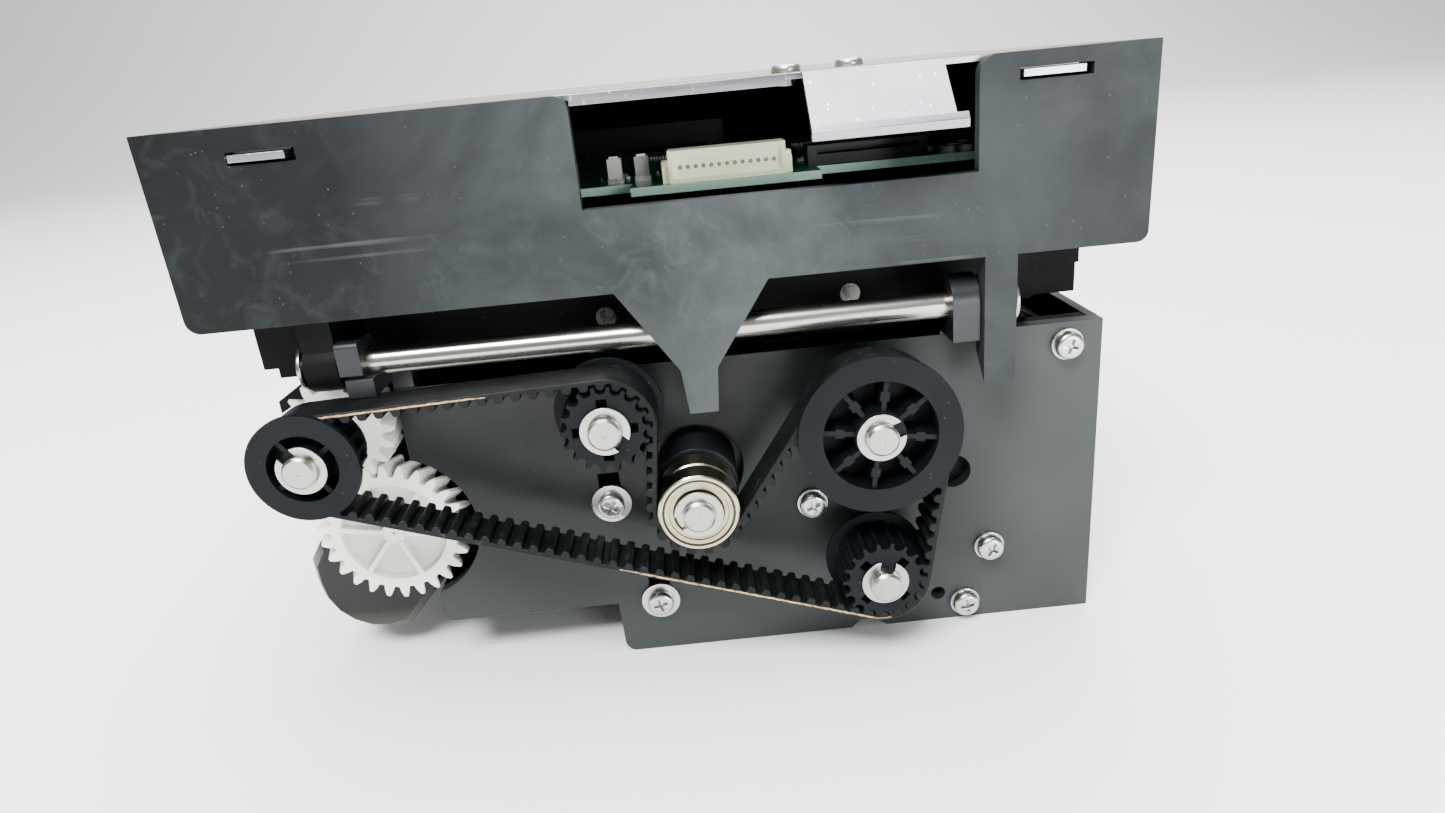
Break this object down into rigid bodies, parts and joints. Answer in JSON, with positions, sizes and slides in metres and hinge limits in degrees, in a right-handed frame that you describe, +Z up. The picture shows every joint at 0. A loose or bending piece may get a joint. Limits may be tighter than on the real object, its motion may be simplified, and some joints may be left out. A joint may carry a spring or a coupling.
{
  "type": "bill validator",
  "caption": "Bill validator with a belt-driven note transport below and a hinged sensor unit with circuit board above.",
  "frame": {"origin": "in the underside of the base pan, in the middle of the depth, below the idler wheel", "axes": "+X along the note's travel from the inlet to the outlet, +Y across the note from the belt side to the rear, +Z up"},
  "size_m": [0.169, 0.213, 0.1156],
  "materials": {
    "side_plate_plastic": "smooth satin moulded dark grey",
    "chassis_plastic": "black moulded, fine grain",
    "nose_plastic": "smooth worn dark grey-brown",
    "base_steel": "black coated sheet steel",
    "housing_plastic": "charcoal moulded, smudged and lightly scuffed",
    "pulley_plastic": "blue-black moulded, fine matt",
    "gear_plastic": "milky white acetal",
    "bush_plastic": "natural acetal",
    "shaft_steel": "turned and ground",
    "bearing_steel": "polished rings with an oily shield",
    "ring_steel": "nickel-plated spring steel",
    "screw_zinc": "bright zinc",
    "belt_rubber": "black moulded rubber with a tan cord edge",
    "roller_rubber": "ground matt black rubber",
    "feed_rubber": "pinkish-brown feed rubber",
    "pinch_plastic": "grey acetal",
    "motor_steel": "zinc-plated steel can",
    "magnet_steel": "nickel-plated magnet",
    "sensor_plastic": "black moulded",
    "sensor_glass": "clear polished glass",
    "cover_steel": "bright stainless sheet",
    "board_green": "green solder mask on glass epoxy",
    "component_plastic": "black epoxy and nylon",
    "connector_nylon": "cream nylon"
  },
  "bodies": {
    "lower_unit": {"front_side_plate": "side_plate_plastic", "rear_side_plate": "side_plate_plastic", "front_bearing_wall": "chassis_plastic", "rear_bearing_wall": "chassis_plastic", "base_pan": "base_steel", "lower_guide": "chassis_plastic", "feed_nose": "nose_plastic", "shaft_bushings": "bush_plastic", "tension_bracket": "chassis_plastic", "idler_stud": "shaft_steel", "idler_bearing_inners": "bearing_steel", "idler_ring": "ring_steel", "drive_motor": "motor_steel", "case_screws": "screw_zinc", "slot_screws": "screw_zinc", "hinge_shaft": "shaft_steel", "hinge_shaft_rings": "ring_steel", "hinge_clip": "chassis_plastic", "hinge_boss": "chassis_plastic", "timing_belt": "belt_rubber", "lower_image_sensor": "sensor_plastic", "lower_sensor_window": "sensor_glass", "latch_magnet": "magnet_steel"},
    "inlet_roller": {"inlet_shaft": "shaft_steel", "inlet_rollers": "roller_rubber", "inlet_pulley": "pulley_plastic", "inlet_gear": "gear_plastic", "inlet_rings": "ring_steel"},
    "middle_roller": {"middle_shaft": "shaft_steel", "middle_rollers": "roller_rubber", "middle_pulley": "pulley_plastic", "middle_rings": "ring_steel"},
    "outlet_roller": {"outlet_shaft": "shaft_steel", "outlet_rollers": "roller_rubber", "outlet_pulley": "pulley_plastic", "outlet_rings": "ring_steel"},
    "drive_spindle": {"drive_shaft": "shaft_steel", "drive_pulley": "pulley_plastic", "drive_ring": "ring_steel"},
    "idler_wheel": {"idler_bearing_outers": "bearing_steel"},
    "feed_roller": {"feed_shaft": "shaft_steel", "feed_rollers": "feed_rubber", "feed_gear": "gear_plastic"},
    "upper_unit": {"upper_housing": "housing_plastic", "upper_frame": "chassis_plastic", "upper_guide": "chassis_plastic", "top_cover": "cover_steel", "cover_screws": "screw_zinc", "main_board": "board_green", "board_components": "component_plastic", "harness_connector": "connector_nylon", "flat_cable_connector": "component_plastic", "upper_image_sensor": "sensor_plastic", "upper_sensor_window": "sensor_glass"},
    "inlet_pinch": {"inlet_pinch_shaft": "shaft_steel", "inlet_pinch_rollers": "pinch_plastic"},
    "middle_pinch": {"middle_pinch_shaft": "shaft_steel", "middle_pinch_rollers": "pinch_plastic"},
    "outlet_pinch": {"outlet_pinch_shaft": "shaft_steel", "outlet_pinch_rollers": "pinch_plastic"}
  },
  "joints": [
    {"name": "upper_open", "type": "hinge", "parent": "lower_unit", "child": "upper_unit", "pos_m": [0, -0.094, 0.0714], "axis": [1, 0, 0], "range_deg": [0, 27]},
    {"name": "outlet_spin", "type": "hinge", "parent": "lower_unit", "child": "outlet_roller", "pos_m": [0.034, 0, 0.0517], "axis": [0, 1, 0], "continuous": true},
    {"name": "inlet_spin", "type": "hinge", "parent": "lower_unit", "child": "inlet_roller", "pos_m": [-0.0686, 0, 0.0566], "axis": [0, 1, 0], "continuous": true},
    {"name": "middle_spin", "type": "hinge", "parent": "lower_unit", "child": "middle_roller", "pos_m": [-0.0149, 0, 0.0581], "axis": [0, 1, 0], "continuous": true},
    {"name": "drive_spin", "type": "hinge", "parent": "lower_unit", "child": "drive_spindle", "pos_m": [0.034, 0, 0.0214], "axis": [0, 1, 0], "continuous": true},
    {"name": "idler_spin", "type": "hinge", "parent": "lower_unit", "child": "idler_wheel", "pos_m": [0, 0, 0.0405], "axis": [0, 1, 0], "continuous": true},
    {"name": "feed_spin", "type": "hinge", "parent": "lower_unit", "child": "feed_roller", "pos_m": [-0.06286, 0, 0.03354], "axis": [0, 1, 0], "continuous": true},
    {"name": "inlet_pinch_spin", "type": "hinge", "parent": "upper_unit", "child": "inlet_pinch", "pos_m": [-0.0686, 0, 0.0718], "axis": [0, 1, 0], "continuous": true},
    {"name": "middle_pinch_spin", "type": "hinge", "parent": "upper_unit", "child": "middle_pinch", "pos_m": [-0.0149, 0, 0.0718], "axis": [0, 1, 0], "continuous": true},
    {"name": "outlet_pinch_spin", "type": "hinge", "parent": "upper_unit", "child": "outlet_pinch", "pos_m": [0.034, 0, 0.0718], "axis": [0, 1, 0], "continuous": true}
  ],
  "couplings": [
    {"joint": "inlet_spin", "follows": "outlet_spin", "ratio": 1.5556},
    {"joint": "middle_spin", "follows": "outlet_spin", "ratio": 1.5556},
    {"joint": "drive_spin", "follows": "outlet_spin", "ratio": 1.5556},
    {"joint": "idler_spin", "follows": "outlet_spin", "ratio": -1.6205},
    {"joint": "feed_spin", "follows": "outlet_spin", "ratio": -1.0769},
    {"joint": "inlet_pinch_spin", "follows": "outlet_spin", "ratio": -2.3074},
    {"joint": "middle_pinch_spin", "follows": "outlet_spin", "ratio": -1.9185},
    {"joint": "outlet_pinch_spin", "follows": "outlet_spin", "ratio": -2.3}
  ]
}
